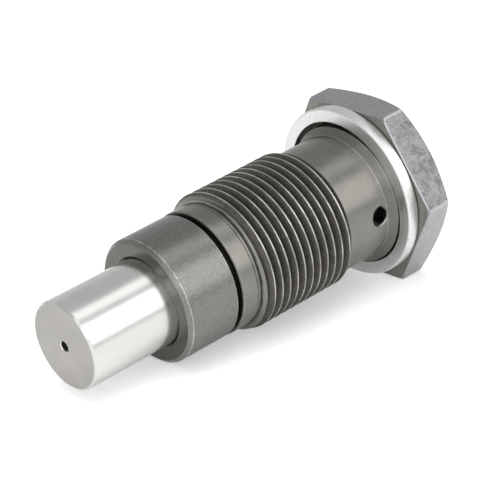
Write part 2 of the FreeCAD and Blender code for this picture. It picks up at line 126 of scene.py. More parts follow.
class Tag(IntEnum):
    """Which of the housing's materials a face has."""

    HEAD = 0
    BARREL = 1
    THREAD = 2
    SCUFFED = 3


@dataclass(frozen=True)
class Bench:
    """How the tensioner's own axis lies in the frame."""

    axis: Vector
    seal_thickness: float

    def lean(self) -> float:
        """The angle by which the axis dips towards the tip, in radians."""
        return math.atan2(-self.axis.z, self.axis.x)

    def matrix(self, lift: float = 0.0, sideways: float = 0.0) -> Matrix:
        """From a piece's millimetres, shifted up and towards +Y off the axis, to the frame's metres."""
        shift = Matrix.Translation(Vector((-self.seal_thickness, sideways, lift)))
        return Matrix.Scale(MM, 4) @ Matrix.Rotation(self.lean(), 4, "Y") @ shift


def arc(station: float, radius: float, size: float, first: float, last: float,
        steps: int) -> list[Point]:
    """Points on a circle of some size about a station and radius, from one swing to another."""
    swings = [first + (last - first) * step / steps for step in range(steps + 1)]
    return [(station + size * math.sin(swing), radius - size * math.cos(swing)) for swing in swings]


def rounded(points: list[tuple[float, ...]], steps: int) -> list[Point]:
    """Rounds the corners of an outline.

    Args:
        points: Station, radius and, where the corner is rounded, the corner's own radius.
        steps: How many pieces each rounded corner has.

    Returns:
        The outline's points, with an arc at each rounded corner.
    """
    outline: list[Point] = []
    for index, point in enumerate(points):
        if len(point) < 3:
            outline.append(point)
            continue
        here = np.array(point[:2])
        before, after = (np.array(points[index + side][:2]) - here for side in (-1, 1))
        to_before = before / np.linalg.norm(before)
        to_after = after / np.linalg.norm(after)
        half = math.acos(float(np.clip(to_before @ to_after, -1, 1))) / 2
        back = point[2] / math.tan(half)
        middle = to_before + to_after
        centre = here + middle / np.linalg.norm(middle) * point[2] / math.sin(half)
        first = here + to_before * back - centre
        last = here + to_after * back - centre
        sweep = math.atan2(first[0] * last[1] - first[1] * last[0], float(first @ last))
        start = math.atan2(first[0], -first[1])
        outline += arc(*centre.tolist(), point[2], start, start + sweep, steps)
    return outline


def round_hole_points(station: float, radius: float, surface: float,
                      swing: np.ndarray) -> np.ndarray:
    """Where a round hole along Y meets a surface about the axis, for each swing about the hole."""
    along, upward = station + radius * np.cos(swing), radius * np.sin(swing)
    return np.column_stack([along, np.sqrt(surface ** 2 - upward ** 2), upward])


class Shell:
    """A mesh under construction, made of rings about the axis."""

    def __init__(self) -> None:
        """Starts with nothing."""
        self.points: list[np.ndarray] = []
        self.faces: list[tuple[tuple[int, ...], int]] = []
        self.count = 0

    def add(self, points: np.ndarray) -> np.ndarray:
        """Adds points.

        Args:
            points: One row for each point.

        Returns:
            The new points' numbers.
        """
        self.points.append(points)
        self.count += len(points)
        return np.arange(self.count - len(points), self.count)

    def ring(self, station: np.ndarray | float, radius: np.ndarray | float,
             turns: np.ndarray) -> np.ndarray:
        """Adds a point for each turn, with one station and radius for all or one for each."""
        stations = np.broadcast_to(station, turns.shape)
        return self.add(np.column_stack([stations, radius * np.cos(turns), radius * np.sin(turns)]))

    def pole(self, station: float) -> int:
        """Adds one point on the axis and returns its number."""
        return int(self.add(np.array([[station, 0.0, 0.0]]))[0])

    def join(self, first: np.ndarray, second: np.ndarray, tag: int | np.ndarray = 0) -> None:
        """Joins a ring to the next, of as many points, with one tag for all or one for each face."""
        quads = np.column_stack([first, second, np.roll(second, -1), np.roll(first, -1)])
        self.faces += zip(map(tuple, quads.tolist()), np.broadcast_to(tag, len(first)).tolist())

    def fan(self, pole: int, ring: np.ndarray, tag: int = 0, closing: bool = False) -> None:
        """Joins a ring to a point on the axis, which starts the outline or closes it."""
        for here, after in zip(ring.tolist(), np.roll(ring, -1).tolist()):
            self.faces.append(((here, pole, after) if closing else (pole, here, after), tag))

    def zip_rings(self, first: np.ndarray, first_turns: np.ndarray, second: np.ndarray,
                  second_turns: np.ndarray, tag: int = 0) -> None:
        """Joins two rings whose points differ in number with triangles.

        Args:
            first: The ring nearer the start of the outline.
            first_turns: Its turns, rising.
            second: The next ring.
            second_turns: Its turns, rising.
            tag: Which material the faces have.
        """
        rings = [np.append(ring, ring[0]).tolist() for ring in (first, second)]
        ends = [np.append(turns[1:], turns[0] + ROUND_TURN) for turns in (first_turns, second_turns)]
        order = np.argsort(np.concatenate(ends), kind="stable")
        reached = [0, 0]
        for side in (order >= len(first)).astype(int).tolist():
            here = (rings[0][reached[0]], rings[1][reached[1]])
            reached[side] += 1
            self.faces.append(((*here, rings[side][reached[side]]), tag))

    def lathe(self, outline: list[Point], tag: int = 0, start: np.ndarray | None = None) -> np.ndarray:
        """Turns an outline about the axis.

        Args:
            outline: Stations and radii, in order.
            tag: Which material the faces have.
            start: A ring that the first point's ring is joined to, if any.

        Returns:
            The last ring.
        """
        previous = start
        for station, radius in outline:
            ring = self.ring(station, radius, TURNS)
            if previous is not None:
                self.join(previous, ring, tag)
            previous = ring
        return previous

    def hole_loop(self, station: float, radius: float, surface: float) -> tuple[np.ndarray, np.ndarray]:
        """Opens a round hole, on the +Y side, in a surface about the axis.

        Args:
            station: The hole's place along the axis.
            radius: Its radius.
            surface: The radius of the surface that it opens in.

        Returns:
            The points round the hole and their directions about its axis, rising.
        """
        points = np.concatenate(self.points)
        on_surface = np.abs(np.hypot(points[:, 1], points[:, 2]) - surface) < ON_SURFACE
        inside = np.hypot(points[:, 0] - station, points[:, 2]) < radius
        near = on_surface & inside & (points[:, 1] > 0)
        kept = []
        sides: Counter[frozenset[int]] = Counter()
        for face, tag in self.faces:
            numbers = list(face)
            if near[numbers].any() and on_surface[numbers].all():
                sides.update(frozenset(side) for side in zip(face, (*face[1:], face[0])))
            else:
                kept.append((face, tag))
        self.faces = kept
        rim = np.array(sorted({number for side, uses in sides.items() if uses == 1 for number in side}))
        swing = np.arctan2(points[rim, 2], points[rim, 0] - station)
        rim, swing = rim[np.argsort(swing)], np.sort(swing)
        points[rim] = round_hole_points(station, radius, surface, swing)
        self.points = [points]
        return rim, swing

    def punch(self, station: float, radius: float, sink: float, outer: float, inner: float,
              tag: int) -> None:
        """Drills a round hole with an eased mouth through a wall, on the +Y side.

        Args:
            station: The hole's place along the axis.
            radius: Its radius.
            sink: How far its mouth is eased.
            outer: The wall's outer radius.
            inner: The wall's inner radius.
            tag: Which material the hole's faces have.
        """
        mouth, swing = self.hole_loop(station, radius + sink, outer)
        exit_rim, exit_swing = self.hole_loop(station, radius, inner)
        neck_points = round_hole_points(station, radius, outer, swing)
        neck_points[:, 1] -= sink
        neck = self.add(neck_points)
        self.join(mouth, neck, tag)
        self.zip_rings(neck, swing, exit_rim, exit_swing, tag)

    def mesh(self) -> Mesh:
        """Makes the mesh.

        Returns:
            The mesh in the tensioner's own millimetres, its faces tagged with their materials.
        """
        mesh = bpy.data.meshes.new("turned")
        faces, tags = zip(*self.faces)
        mesh.from_pydata(np.concatenate(self.points).tolist(), [], faces)
        mesh.polygons.foreach_set("material_index", np.array(tags, dtype=np.int32))
        return mesh


def new_object(name: str, data: ID) -> Object:
    """Puts an object in the scene, at the origin.

    Args:
        name: The object's name.
        data: Its mesh, lamp or camera.

    Returns:
        The object.
    """
    item = bpy.data.objects.new(name, data)
    bpy.context.scene.collection.objects.link(item)
    return item


@dataclass(frozen=True)
class Term:
    """What a node gives, for use in sums: each operator adds a Math node."""

    graph: Graph
    socket: NodeSocket

    def __add__(self, other: Value) -> Term:
        """This plus another."""
        return self.graph.math("ADD", self, other)

    def __sub__(self, other: Value) -> Term:
        """This less another."""
        return self.graph.math("SUBTRACT", self, other)

    def __mul__(self, other: Value) -> Term:
        """This times another."""
        return self.graph.math("MULTIPLY", self, other)

    def __truediv__(self, other: Value) -> Term:
        """This divided by another."""
        return self.graph.math("DIVIDE", self, other)


Value = Term | float


@dataclass(frozen=True)
class Graph:
    """A material's, a world's or a geometry node tree, which is filled by short calls."""

    tree: NodeTree

    @staticmethod
    def of(owner: Material | World) -> Graph:
        """Empties a tree, to fill it anew.

        Args:
            owner: The material or the world that the tree belongs to.

        Returns:
            The empty tree.
        """
        owner.use_nodes = True
        owner.node_tree.nodes.clear()
        return Graph(owner.node_tree)

    def feed(self, socket: NodeSocket, value: object) -> None:
        """Links a term to an input, or sets any other value on the input itself.

        Args:
            socket: The node's input.
            value: A term, a number, a vector or a colour.
        """
        if isinstance(value, Term):
            self.tree.links.new(value.socket, socket)
        else:
            socket.default_value = value

    def node(self, kind: str, inputs: dict[str | int, object] | None = None,
             **settings: object) -> Node:
        """Adds a node.

        Args:
            kind: The node's type, such as ShaderNodeMath.
            inputs: What its inputs take, by name or number.
            **settings: The node's own properties.

        Returns:
            The node.
        """
        item = self.tree.nodes.new(kind)
        for name, value in settings.items():
            setattr(item, name, value)
        for key, value in (inputs or {}).items():
            self.feed(item.inputs[key], value)
        return item

    def term(self, kind: str, inputs: dict[str | int, object] | None = None,
             output: str | int = 0, **settings: object) -> Term:
        """Adds a node and returns one of its outputs."""
        return Term(self, self.node(kind, inputs, **settings).outputs[output])

    def math(self, operation: str, *values: Value) -> Term:
        """Adds a Math node."""
        return self.term("ShaderNodeMath", dict(enumerate(values)), operation=operation)

    def distance(self, first: Term, second: Term) -> Term:
        """The square root of the sum of two squares."""
        return self.math("SQRT", first * first + second * second)

    def vector(self, *parts: Value) -> Term:
        """Combines three values into a vector."""
        return self.term("ShaderNodeCombineXYZ", dict(enumerate(parts)))

    def parts(self, vector: Term) -> list[Term]:
        """Takes a vector apart."""
        outputs = self.node("ShaderNodeSeparateXYZ", {0: vector}).outputs
        return [Term(self, socket) for socket in outputs]

    def ray(self, kind: str) -> Term:
        """Whether light comes by a ray of a kind, such as Camera, as 0 or 1."""
        return self.term("ShaderNodeLightPath", output=f"Is {kind} Ray")

    def noise(self, place: Term, scale: float, detail: float, roughness: float,
              distortion: float = 0.0) -> Term:
        """Adds a noise texture, from 0 to 1."""
        inputs = {"Vector": place, "Scale": scale, "Detail": detail, "Roughness": roughness,
                  "Distortion": distortion}
        return self.term("ShaderNodeTexNoise", inputs)

    def ramp(self, value: Value, low: Value, high: Value, start: float = 0.0, end: float = 1.0) -> Term:
        """Maps a value from low and high to start and end, and keeps it between those."""
        inputs = {"Value": value, "From Min": low, "From Max": high, "To Min": start, "To Max": end}
        return self.term("ShaderNodeMapRange", inputs)

    def mix(self, share: Term, first: Term | Colour, second: Term | Colour) -> Term:
        """Mixes two colours.

        Args:
            share: How much of the second colour there is.
            first: The first colour.
            second: The second colour.

        Returns:
            The mixed colour.
        """
        item = self.node("ShaderNodeMix", {0: share}, data_type="RGBA")
        for number, colour in zip(MIX_COLOURS, (first, second)):
            self.feed(item.inputs[number], colour if isinstance(colour, Term) else (*colour, 1.0))
        return Term(self, item.outputs[MIX_RESULT])


@dataclass(frozen=True)
class AxisPlace:
    """A point's place on the tensioner, in millimetres, as a material sees it."""

    graph: Graph
    station: Term
    across: Term
    upward: Term
    radius: Term
    place: Term
    facing: Term

    @staticmethod
    def of(graph: Graph, bench: Bench) -> AxisPlace:
        """Turns Object coordinates so that X runs along the tensioner's axis.

        Args:
            graph: The material's tree.
            bench: How the axis lies.

        Returns:
            The place, and how squarely the surface faces along the axis.
        """
        turn = (0.0, -bench.lean(), 0.0)
        place = graph.term("ShaderNodeMapping", {
            "Vector": graph.term("ShaderNodeTexCoord", output="Object"),
            "Location": (bench.seal_thickness, 0.0, 0.0),
            "Rotation": turn,
            "Scale": (1 / MM, 1 / MM, 1 / MM),
        })
        normal = graph.term("ShaderNodeTexCoord", output="Normal")
        turned = graph.term("ShaderNodeMapping", {"Vector": normal, "Rotation": turn})
        station, across, upward = graph.parts(place)
        return AxisPlace(graph, station, across, upward, graph.distance(across, upward), place,
                         graph.math("ABSOLUTE", graph.parts(turned)[0]))

    def noise(self, scale: float, detail: float, roughness: float = 0.55,
              distortion: float = 0.0) -> Term:
        """Noise that is fixed to the tensioner, from 0 to 1."""
        return self.graph.noise(self.place, scale, detail, roughness, distortion)

    def edge_wear(self, edges: tuple[Point, ...], reach: float = 0.11) -> Term:
        """How far an edge round the axis is rubbed bright, unevenly.

        Args:
            edges: Each edge's station and radius.
            reach: About how far from an edge the wear ends.

        Returns:
            A value from 0 to 1.
        """
        uneven = self.graph.ramp(self.noise(1.1, 4.0, 0.7), 0.38, 0.62, -0.04, 0.06)
        worn: Value = 0.0
        for station, radius in edges:
            away = self.graph.distance(self.station - station, self.radius - radius) + uneven
            worn = self.graph.math("MAXIMUM", worn, self.graph.ramp(away, reach * 0.45, reach, 1.0, 0.0))
        return worn

    def rim_wear(self, grain: Term, beyond: float) -> Term:
        """How far the corners beyond a radius are rubbed bright, unevenly, from 0 to 1."""
        reach = self.radius + self.graph.ramp(grain, 0.35, 0.65, -0.1, 0.1)
        return self.graph.ramp(reach, beyond, beyond + 0.12)

    def turned_lines(self, pitch: float, streak: float = 0.35) -> Term:
        """Fine tool marks that run round the axis, on faces square to it as well.

        Args:
            pitch: About how far apart the marks are.
            streak: How quickly a mark changes round the axis.

        Returns:
            A value from 0 to 1.
        """
        along = (self.station + self.radius * 1.3) / pitch
        place = self.graph.vector(along, self.across * streak, self.upward * streak)
        return self.graph.noise(place, 1.0, 2.0, 0.6)


@dataclass(frozen=True)
class Surface:
    """What a finish works out: its colour, roughness and relief, whose depth is in millimetres."""

    colour: Term
    roughness: Value
    height: Term
    depth: float
    strength: float = 0.5
    metallic: float = 1.0


@dataclass(frozen=True)
class Finish:
    """A material of the tensioner."""

    name: str

    def surface(self, place: AxisPlace) -> Surface:
        """Works out the surface at a place."""
        raise NotImplementedError

    def build(self, bench: Bench) -> Material:
        """Makes the material.

        Args:
            bench: How the tensioner's axis lies.

        Returns:
            The material.
        """
        material = bpy.data.materials.new(self.name)
        graph = Graph.of(material)
        surface = self.surface(AxisPlace.of(graph, bench))
        bump = graph.term("ShaderNodeBump", {
            "Strength": surface.strength,
            "Distance": surface.depth * MM,
            "Height": surface.height,
        })
        shader = graph.term("ShaderNodeBsdfPrincipled", {
            "Base Color": surface.colour,
            "Roughness": surface.roughness,
            "Metallic": surface.metallic,
            "Normal": bump,
        })
        graph.node("ShaderNodeOutputMaterial", {"Surface": shader})
        return material


@dataclass(frozen=True)
class TurnedSteel(Finish):
    """Steel with fine tool marks round the axis, and blotches in its coating."""

    dark: Colour
    light: Colour
    roughness: tuple[float, float]
    mark_pitch: float
    mark_depth: float
    blotch_size: float = 2.2
    blotch_contrast: float = 1.0
    # Painted shade: a darker colour laid on faces square to the axis, for the shade and dark reflections
    # they show.
    painted_end_shade: Colour | None = None
    end_roughness: float = 0.45
    end_from: float = 0.8
    worn_edges: tuple[Point, ...] = ()
    worn_beyond: float | None = None
    worn: Colour = (0.52, 0.51, 0.49)

    def surface(self, place: AxisPlace) -> Surface:
        """Blotches and marks, a darker tone painted on faces square to the axis as painted shade, and
        bright worn edges.

        Args:
            place: The place on the tensioner.

        Returns:
            The surface.
        """
        graph = place.graph
        marks = place.turned_lines(self.mark_pitch)
        blotch = place.noise(1 / self.blotch_size, 5.0, 0.6)
        spread = 0.22 / self.blotch_contrast
        streaked = graph.ramp(blotch, 0.5 - spread, 0.5 + spread) * 0.7 + marks * 0.3
        colour = graph.mix(streaked, self.dark, self.light)
        rough = graph.ramp(blotch + marks, 0.7, 1.3, *self.roughness)
        # Painted shade: faces square to the axis take the darker painted colour, varied by the blotches.
        if self.painted_end_shade:
            square = graph.ramp(place.facing, self.end_from, 0.97)
            shade, tint = (tuple(part * level for part in self.painted_end_shade) for level in (0.84, 1.12))
            colour = graph.mix(square, colour, graph.mix(streaked, shade, tint))
            rough = rough + square * graph.math("SUBTRACT", self.end_roughness, rough)
        if self.worn_edges:
            colour = graph.mix(place.edge_wear(self.worn_edges), colour, self.worn)
        if self.worn_beyond:
            colour = graph.mix(place.rim_wear(blotch, self.worn_beyond), colour, self.worn)
        return Surface(colour, rough, marks, self.mark_depth)


@dataclass(frozen=True)
class ScuffedSteel(Finish):
    """A flat that spanners and handling have scuffed: dull patches under pale curling scratches."""

    dull: Colour
    bare: Colour
    scratch: Colour
    worn_beyond: float

    def surface(self, place: AxisPlace) -> Surface:
        """Patches and specks, with scratches where a distorted noise passes its middle.

        Args:
            place: The place on the tensioner.

        Returns:
            The surface.
        """
        graph = place.graph
        patch = place.noise(0.55, 4.0, 0.6, 0.8)
        speck = place.noise(3.4, 5.0, 0.8, 1.2)
        stretched = graph.vector(place.station * 0.5, place.across, place.upward * 1.6)
        curl = graph.noise(stretched, 1.7, 6.0, 0.7, 2.2)
        share = graph.ramp(patch, 0.35, 0.65) * 0.4 + graph.ramp(speck, 0.4, 0.6) * 0.6
        off_line = graph.math("ABSOLUTE", curl - 0.5)
        line = graph.ramp(off_line, 0.005, 0.024, 1.0, 0.0) * graph.ramp(patch, 0.42, 0.52)
        colour = graph.mix(line, graph.mix(share, self.dull, self.bare), self.scratch)
        colour = graph.mix(place.rim_wear(speck, self.worn_beyond), colour, self.scratch)
        return Surface(colour, graph.ramp(share, 0.0, 1.0, 0.6, 0.42), speck - line * 0.3, 0.02)


@dataclass(frozen=True)
class ThreadSteel(Finish):
    """Coated flanks painted dark with the shade of the grooves, under crests that are worn bright and
    carry a painted highlight.
    """

    # Painted shade: the flank colours are darker than the lead-in, for the shade in the thread's
    # grooves; the crest colour is wear together with a painted highlight.
    flank: Colour
    flank_patch: Colour
    crest: Colour
    crest_radius: float
    worn_depth: float
    lead_in: Colour
    lead_in_station: float

    def surface(self, place: AxisPlace) -> Surface:
        """Flanks with patches and painted groove shade, crests worn bright with a painted highlight,
        more in some places, and the bare lead-in.

        Args:
            place: The place on the tensioner.

        Returns:
            The surface.
        """
        graph = place.graph
        grain = place.noise(1.6, 4.0, 0.65)
        wear = (grain - 0.5) * (self.worn_depth * 1.6)
        # Crests: worn bright, partly a painted highlight.
        crest = graph.ramp(place.radius + wear, self.crest_radius - self.worn_depth,
                           self.crest_radius - self.worn_depth * 0.35)
        bright = crest * graph.ramp(place.noise(0.3, 3.0, 0.6), 0.36, 0.6, 0.4, 1.0)
        # Flanks: painted shade of the grooves, with random patches.
        flank = graph.mix(graph.ramp(grain, 0.35, 0.65), self.flank, self.flank_patch)
        bare = graph.ramp(place.station + wear * 2.0, self.lead_in_station - 0.05,
                          self.lead_in_station + 0.05)
        colour = graph.mix(bare, graph.mix(bright, flank, self.crest), self.lead_in)
        rough = graph.ramp(graph.math("MAXIMUM", bright, bare), 0.0, 1.0, 0.5, 0.3)
        return Surface(colour, rough, place.noise(7.0, 2.0), 0.02)


@dataclass(frozen=True)
class SoftAluminium(Finish):
    """Pale soft metal with fine scratches every way and small dents."""

    pale: Colour
    dull: Colour

    def surface(self, place: AxisPlace) -> Surface:
        """Turning marks crossed by scuffs.

        Args:
            place: The place on the tensioner.

        Returns:
            The surface.
        """
        graph = place.graph
        crossed = graph.vector(place.station, place.across * 5.0, place.upward)
        scuffs = graph.noise(crossed, 1.6, 5.0, 0.7)
        share = place.turned_lines(0.09, 0.9) * 0.5 + scuffs * 0.5
        colour = graph.mix(graph.ramp(share, 0.38, 0.6), self.dull, self.pale)
        return Surface(colour, graph.ramp(scuffs, 0.3, 0.7, 0.48, 0.34), share, 0.03, 0.6)


@dataclass(frozen=True)
class NaturalPlastic(Finish):
    """The filler's moulded plastic."""

    colour: Colour
    cloud: Colour
    roughness: float = 0.45

    def surface(self, place: AxisPlace) -> Surface:
        """A slightly cloudy colour over a fine grain."""
        colour = place.graph.mix(place.noise(0.5, 3.0), self.cloud, self.colour)
        return Surface(colour, self.roughness, place.noise(9.0, 2.0), 0.02, 0.4, 0.0)


class Grown:
    """A shape that a Geometry Nodes tree makes from named sizes, in the tensioner's own millimetres."""

    def sizes(self) -> dict[str, float]:
        """The tree's named inputs."""
        raise NotImplementedError

    def grow(self, graph: Graph, given: dict[str, Term]) -> Term:
        """Adds the nodes that make the shape from the tree's inputs."""
        raise NotImplementedError

    def grown_mesh(self, material: Material) -> Mesh:
        """Builds the tree, runs it once and returns its plain mesh.

        Args:
            material: The shape's material.

        Returns:
            The mesh.
        """
        tree = bpy.data.node_groups.new(type(self).__name__, "GeometryNodeTree")
        tree.interface.new_socket("Geometry", in_out="OUTPUT", socket_type="NodeSocketGeometry")
        identifiers = {}
        for label, size in self.sizes().items():
            socket = tree.interface.new_socket(label, in_out="INPUT", socket_type="NodeSocketFloat")
            socket.default_value = size
            identifiers[label] = socket.identifier
        socket = tree.interface.new_socket("Material", in_out="INPUT", socket_type="NodeSocketMaterial")
        identifiers["Material"] = socket.identifier
        graph = Graph(tree)
        inputs = graph.node("NodeGroupInput").outputs
        given = {label: Term(graph, inputs[label]) for label in identifiers}
        real = graph.term("GeometryNodeRealizeInstances", {"Geometry": self.grow(graph, given)})
        painted = graph.term("GeometryNodeSetMaterial", {"Geometry": real,
                                                         "Material": given["Material"]})
        graph.node("NodeGroupOutput", {"Geometry": painted})

        holder = new_object("holder", bpy.data.meshes.new("holder"))
        modifier = holder.modifiers.new("tree", "NODES")
        modifier.node_group = tree
        for label, value in {**self.sizes(), "Material": material}.items():
            modifier[identifiers[label]] = value
        evaluated = holder.evaluated_get(bpy.context.evaluated_depsgraph_get())
        mesh = bpy.data.meshes.new_from_object(evaluated)
        holder.modifiers.remove(modifier)
        bpy.data.objects.remove(holder)
        return mesh


@dataclass
class HelixThread(Grown):
    """The barrel's right-hand metric thread, a sheet whose rows follow its helix round the axis."""

    major_radius: float = 10.9
    pitch: float = 1.5
    start: float = 11.0
    end: float = 28.75
    crest_at_side: float = 27.16
    crest_share: float = 0.125
    depth_share: float = 0.75775
    chamfer_share: float = 0.6134
    end_steepness: float = 4.0
    rows_per_turn: int = 16

    def root_radius(self) -> float:
        """The radius at the bottom of the thread."""
        return self.major_radius - self.depth_share * self.pitch

    def sizes(self) -> dict[str, float]:
        """The tree's named inputs, with the first crest behind the thread's start.

        Returns:
            Each input's name and value.
        """
        behind = math.ceil((self.crest_at_side - self.start) / self.pitch + 1)
        first = self.crest_at_side - behind * self.pitch
        return {
            "Pitch": self.pitch,
            "Start": self.start,
            "End": self.end,
            "First Crest": first,
            "Span": math.ceil((self.end - first) / self.pitch) * self.pitch,
            "Root Radius": self.root_radius(),
            "Depth": self.depth_share * self.pitch,
            "Crest Half": self.crest_share / 2,
            "Chamfer Radius": self.major_radius - self.chamfer_share * self.pitch,
            "Steepness": self.end_steepness,
        }

    def grow(self, graph: Graph, given: dict[str, Term]) -> Term:
        """Wraps a grid round the axis, each row one lead further on after a turn.

        Args:
            graph: The tree's graph.
            given: The tree's inputs.

        Returns:
            The thread's surface, closed round the axis and open at its ends.
        """
        rows = round(self.sizes()["Span"] / self.pitch) * self.rows_per_turn + 1
        grid = graph.term("GeometryNodeMeshGrid", {"Size X": 1.0, "Size Y": 1.0, "Vertices X": rows,
                                                   "Vertices Y": SEGMENTS + 1}, "Mesh")
        along, around, _ = graph.parts(graph.term("GeometryNodeInputPosition"))
        turn = (around + 0.5) * ROUND_TURN
        lead = (around + 0.5) * given["Pitch"]
        free = given["First Crest"] + (along + 0.5) * given["Span"] + lead
        station = graph.math("MINIMUM", graph.math("MAXIMUM", free, given["Start"]), given["End"])
        phase = (station - lead - given["First Crest"]) / given["Pitch"]
        from_crest = graph.math("ABSOLUTE", phase - graph.math("ROUND", phase))
        flank = graph.ramp(from_crest, given["Crest Half"], 0.5, 1.0, 0.0)
        to_end = graph.math("MINIMUM", given["End"] - station, station - given["Start"])
        chamfer = given["Chamfer Radius"] + to_end
        face = given["Root Radius"] + to_end * given["Steepness"]
        radius = graph.math("MINIMUM", given["Root Radius"] + flank * given["Depth"],
                            graph.math("MINIMUM", chamfer, face))
        place = graph.vector(station, radius * graph.math("COSINE", turn),
                             radius * graph.math("SINE", turn))
        wrapped = graph.term("GeometryNodeSetPosition", {"Geometry": grid, "Position": place})
        return graph.term("GeometryNodeMergeByDistance", {"Geometry": wrapped,
                                                          "Distance": SLIVER_LENGTH})


@dataclass
class Piece:
    """A visible piece, which moves with a body and stands for one of the frame's nodes."""

    name: str
    node: str
    slot: Slot
    body: Body

    def meshes(self, finishes: tuple[Material, ...]) -> list[Mesh]:
        """Makes the piece's meshes, in the tensioner's own millimetres."""
        raise NotImplementedError

    def matrix(self, bench: Bench) -> Matrix:
        """The transform from the piece's millimetres to the frame's metres."""
        return bench.matrix()

    def build(self, bench: Bench, *finishes: Material) -> Object:
        """Welds the piece's meshes, which share rings, into one closed piece.

        Args:
            bench: How the tensioner lies.
            *finishes: The piece's materials, in the order of its faces' tags.

        Returns:
            The finished piece, riding on its body, smooth apart from its real edges.
        """
        build = bmesh.new()
        for mesh in self.meshes(finishes):
            build.from_mesh(mesh)
            bpy.data.meshes.remove(mesh)
        bmesh.ops.remove_doubles(build, verts=build.verts, dist=WELD_DISTANCE)
        bmesh.ops.dissolve_degenerate(build, edges=build.edges, dist=SLIVER_LENGTH)
        bmesh.ops.recalc_face_normals(build, faces=build.faces)
        open_edges = sum(1 for edge in build.edges if not edge.is_manifold)
        whole = bpy.data.meshes.new(self.name)
        build.to_mesh(whole)
        build.free()
        for material in finishes:
            whole.materials.append(material)
        whole.transform(self.matrix(bench))
        whole.polygons.foreach_set("use_smooth", np.ones(len(whole.polygons), dtype=bool))
        whole.set_sharp_from_angle(angle=SMOOTH_LIMIT)
        log.info("%s: %d faces, %d open edges", self.name, len(whole.polygons), open_edges)
        return seat_piece(new_object(self.name, whole), self.body, self.slot, self.node)


def seat_piece(item: Object, body: Body, slot: Slot, node: str) -> Object:
    """Ties a piece to its body, and hides the frame's node that it stands for.

    Args:
        item: The piece, in place.
        body: The body that it moves with.
        slot: The record's material slot; not used.
        node: The node that it replaces.

    Returns:
        The piece.
    """
    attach(item, body.value)
    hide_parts(node)
    return item


